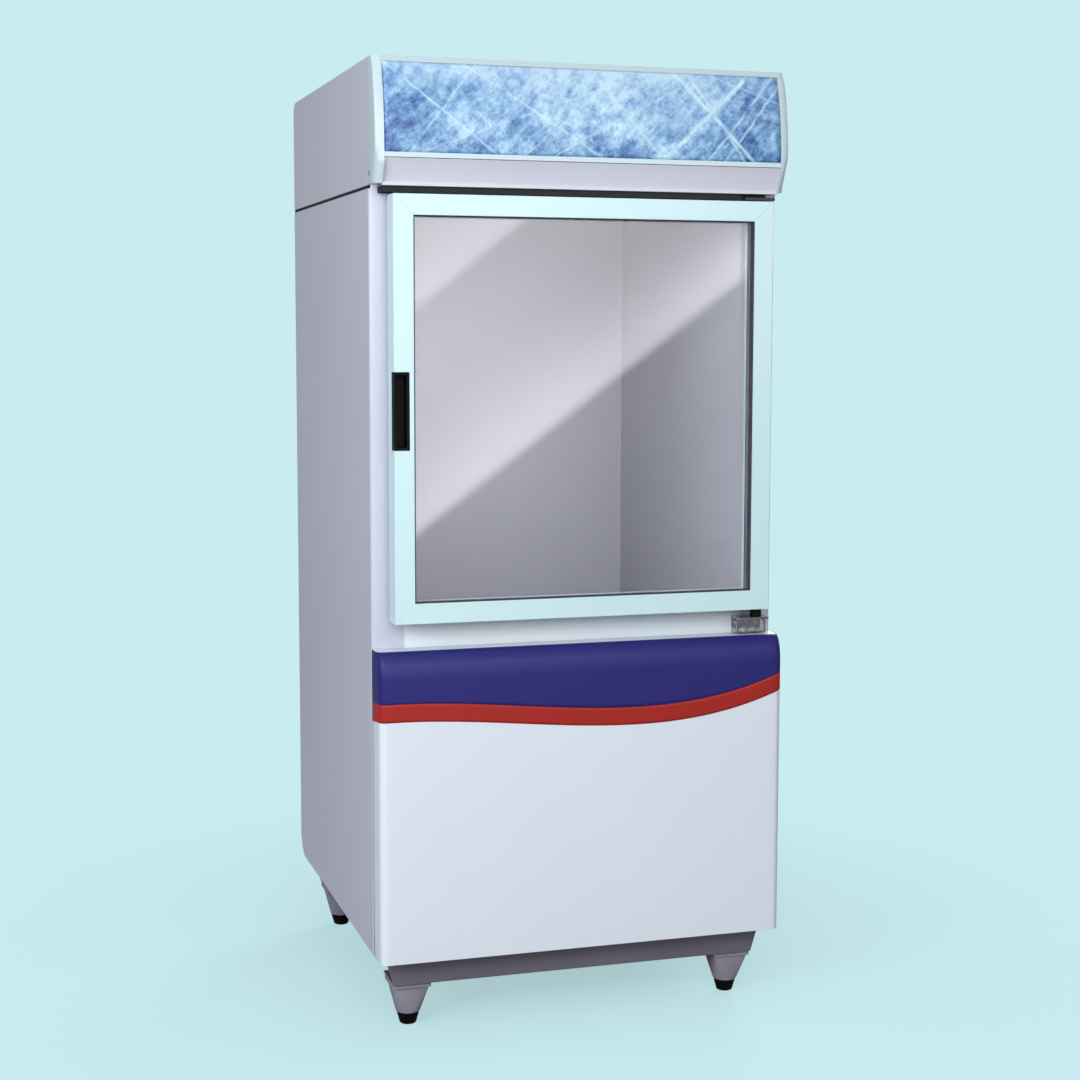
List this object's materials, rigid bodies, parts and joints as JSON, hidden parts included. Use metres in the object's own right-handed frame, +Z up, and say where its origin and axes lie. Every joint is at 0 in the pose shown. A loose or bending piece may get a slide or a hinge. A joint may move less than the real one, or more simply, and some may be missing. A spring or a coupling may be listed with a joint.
{
  "type": "ice merchandiser freezer",
  "caption": "Upright ice merchandiser freezer with a framed glass door, a lit curved canopy, a moulded lower panel with a wave stripe, tapered legs and a rear machine bay.",
  "frame": {"origin": "On the floor under the middle of the freezer", "axes": "+Z up; the door faces -Y; the door's hinges are on the +X side"},
  "size_m": [0.803, 0.8378, 1.81],
  "materials": {
    "white_enamel": "satin",
    "zinc_sheet": "satin",
    "liner_plastic": "satin",
    "foam": "matte",
    "copper": "satin",
    "grate_enamel": "gloss",
    "panel_plastic": "satin",
    "blue_film": "gloss",
    "red_film": "gloss",
    "frame_plastic": "satin",
    "door_glass": "gloss",
    "spacer_metal": "satin",
    "black_rubber": "matte",
    "gasket_rubber": "matte",
    "black_plastic": "satin",
    "bright_steel": "polished",
    "black_steel": "satin",
    "cap_plastic": "satin",
    "picture_sheet": "gloss",
    "fascia_paint": "satin",
    "lamp_diffuser": "satin",
    "base_paint": "satin",
    "leg_plastic": "satin",
    "compressor_paint": "satin",
    "coil_metal": "satin",
    "grey_plastic": "matte",
    "white_plastic": "satin"
  },
  "bodies": {
    "freezer": {"side_panel_left": "white_enamel", "side_panel_right": "white_enamel", "back_panel": "zinc_sheet", "top_panel": "zinc_sheet", "front_strips": "white_enamel", "floor_pan": "zinc_sheet", "inner_liner": "liner_plastic", "foam_insulation": "foam", "evaporator_tube": "copper", "floor_grate": "grate_enamel", "lower_panel": "panel_plastic", "blue_band": "blue_film", "red_stripe": "red_film", "hinge_bracket_bottom": "bright_steel", "hinge_bracket_top": "black_steel", "canopy_side_left": "white_enamel", "canopy_side_right": "white_enamel", "canopy_cover": "white_enamel", "end_cap_left": "cap_plastic", "end_cap_right": "cap_plastic", "picture_panel": "picture_sheet", "picture_trims": "cap_plastic", "canopy_fascia": "fascia_paint", "gap_seal": "black_rubber", "lamp_tubes": "lamp_diffuser", "lamp_holders": "white_plastic", "base_rail_front": "base_paint", "base_rail_rear": "base_paint", "machine_deck": "zinc_sheet", "legs": "leg_plastic", "compressor": "compressor_paint", "condenser": "coil_metal", "fan_shroud": "black_steel", "fan_motor": "black_steel", "refrigerant_lines": "copper", "control_box": "grey_plastic", "drain_tube": "grey_plastic", "rear_grille": "zinc_sheet", "cord_gland": "black_rubber", "screws": "bright_steel"},
    "door": {"door_stile_left": "frame_plastic", "door_stile_right": "frame_plastic", "door_rail_top": "frame_plastic", "door_rail_bottom": "frame_plastic", "outer_pane": "door_glass", "inner_pane": "door_glass", "pane_spacer": "spacer_metal", "glazing_bead": "black_rubber", "door_gasket": "gasket_rubber", "handle_insert": "black_plastic", "closer_rod": "bright_steel", "hinge_bush": "black_plastic"},
    "fan": {"fan_blade": "coil_metal"},
    "knob": {"thermostat_knob": "white_plastic"},
    "switch": {"lamp_switch": "black_plastic"},
    "tray": {"drain_tray": "grey_plastic"},
    "front_left_foot": {"foot_front_left": "black_plastic"},
    "front_right_foot": {"foot_front_right": "black_plastic"},
    "rear_left_foot": {"foot_rear_left": "black_plastic"},
    "rear_right_foot": {"foot_rear_right": "black_plastic"}
  },
  "joints": [
    {"name": "door_swing", "type": "hinge", "parent": "freezer", "child": "door", "pos_m": [0.355, -0.38655, 0.785], "axis": [0, 0, 1], "range_deg": [0, 108], "stiffness_Nm_per_rad": 1},
    {"name": "fan_spin", "type": "hinge", "parent": "freezer", "child": "fan", "pos_m": [-0.19, -0.23655, 0.308], "axis": [0, 1, 0], "continuous": true},
    {"name": "thermostat_turn", "type": "hinge", "parent": "freezer", "child": "knob", "pos_m": [0.3, 0.40045, 0.478], "axis": [0, 1, 0], "range_deg": [0, 270]},
    {"name": "lamp_switch_rock", "type": "hinge", "parent": "freezer", "child": "switch", "pos_m": [0.24, 0.39845, 0.478], "axis": [1, 0, 0], "range_deg": [0, 16]},
    {"name": "drain_tray_slide", "type": "slide", "parent": "freezer", "child": "tray", "axis": [0, 1, 0], "range_m": [0, 0.17]},
    {"name": "front_left_foot_height", "type": "slide", "parent": "freezer", "child": "front_left_foot", "axis": [0, 0, -1], "range_m": [0, 0.02]},
    {"name": "front_right_foot_height", "type": "slide", "parent": "freezer", "child": "front_right_foot", "axis": [0, 0, -1], "range_m": [0, 0.02]},
    {"name": "rear_left_foot_height", "type": "slide", "parent": "freezer", "child": "rear_left_foot", "axis": [0, 0, -1], "range_m": [0, 0.02]},
    {"name": "rear_right_foot_height", "type": "slide", "parent": "freezer", "child": "rear_right_foot", "axis": [0, 0, -1], "range_m": [0, 0.02]}
  ]
}
